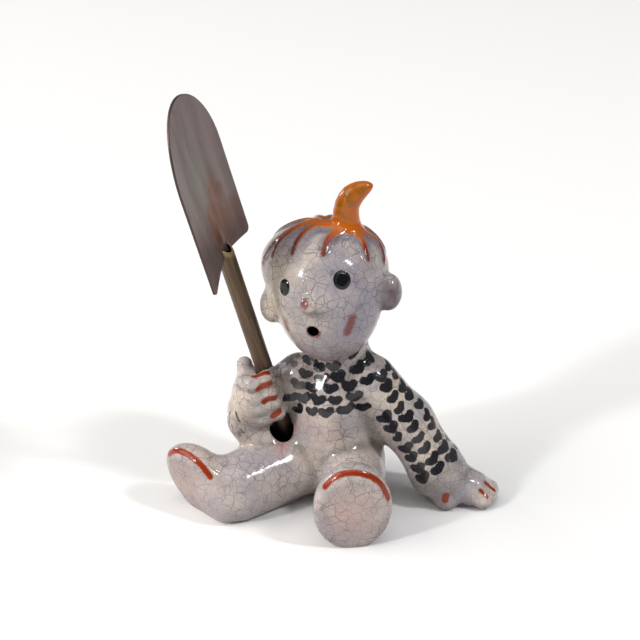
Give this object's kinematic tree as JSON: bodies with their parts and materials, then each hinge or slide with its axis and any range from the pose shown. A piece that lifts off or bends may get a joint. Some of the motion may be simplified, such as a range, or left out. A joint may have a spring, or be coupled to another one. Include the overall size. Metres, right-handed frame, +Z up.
{
  "type": "ceramic figurine",
  "caption": "Seated toddler in crackle-glazed ceramic with a dabbed jumper and a curl of hair, holding a metal spade upright in one fist.",
  "frame": {"origin": "middle of the seat's flat underside, on the surface that the figure sits on", "axes": "+Z up, -Y the way the figure faces, +X towards its left hand"},
  "size_m": [0.1093, 0.0708, 0.154],
  "materials": {
    "glazed_ceramic": "glossy cream to lilac-grey crackle glaze, black dabs on the jumper, orange hair locks, rust lines",
    "shaft_metal": "aged brown and olive patina, half dull",
    "blade_metal": "aged grey-purple patina with a copper-brown patch, half dull"
  },
  "bodies": {
    "root": {"child_figure": "glazed_ceramic", "spade_shaft": "shaft_metal", "spade_blade": "blade_metal"}
  },
  "joints": []
}
